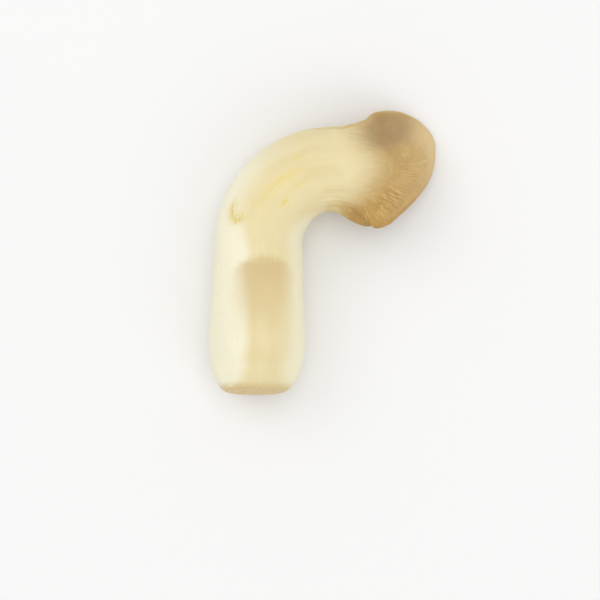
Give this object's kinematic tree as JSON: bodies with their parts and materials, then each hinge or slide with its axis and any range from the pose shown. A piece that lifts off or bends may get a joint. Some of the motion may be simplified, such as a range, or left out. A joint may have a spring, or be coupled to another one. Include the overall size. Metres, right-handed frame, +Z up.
{
  "type": "king oyster mushroom",
  "caption": "Fresh king oyster mushroom lying down: a thick cream stem, bent near its top, that flares into a tan cap with gills running down the neck.",
  "frame": {"origin": "on the flat strip under the stem that the mushroom rests on, midway along the straight stretch", "axes": "+Z up from the surface it lies on; +Y along the stem from the cut end; the stem bends to +X, where the cap is"},
  "size_m": [0.0757, 0.0953, 0.0315],
  "materials": {
    "mushroom_flesh": "matt, dense mushroom flesh: cream stem, tan cap, golden gills"
  },
  "bodies": {
    "root": {"king_oyster_mushroom": "mushroom_flesh"}
  },
  "joints": []
}
